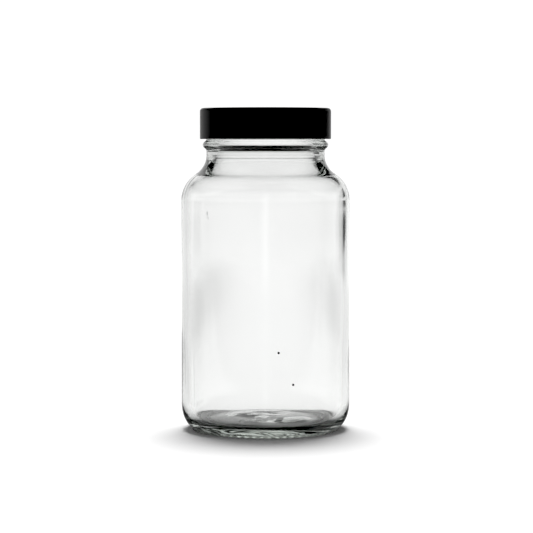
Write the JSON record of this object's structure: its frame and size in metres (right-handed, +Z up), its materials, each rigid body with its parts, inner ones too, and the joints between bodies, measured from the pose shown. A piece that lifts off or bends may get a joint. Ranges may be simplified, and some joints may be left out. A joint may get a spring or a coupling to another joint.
{
  "type": "specimen jar",
  "caption": "Wide-mouth clear glass specimen jar with rounded shoulders, a threaded neck and a smooth black screw cap over a faced board liner.",
  "frame": {"origin": "centre of the base on the plane the jar stands on", "axes": "+Z up along the jar's axis towards the cap; +X to the right and +Y away when the jar is seen from the front"},
  "size_m": [0.0614, 0.0614, 0.1171],
  "materials": {
    "clear_glass": "polished",
    "black_plastic": "satin",
    "pulp_board": "matte",
    "black_facing": "satin"
  },
  "bodies": {
    "jar": {"glass_jar": "clear_glass"},
    "liner": {"liner_board": "pulp_board", "liner_facing": "black_facing"},
    "cap": {"screw_cap": "black_plastic"}
  },
  "joints": [
    {"name": "cap_lift", "type": "slide", "parent": "jar", "child": "liner", "axis": [0, 0, 1], "range_m": [0, 0.0127]},
    {"name": "cap_turn", "type": "hinge", "parent": "liner", "child": "cap", "pos_m": [0, 0, 0.1115], "axis": [0, 0, 1], "range_deg": [0, 1080]}
  ],
  "couplings": [
    {"joint": "cap_lift", "follows": "cap_turn", "m_per_rad": 0.00067375}
  ]
}
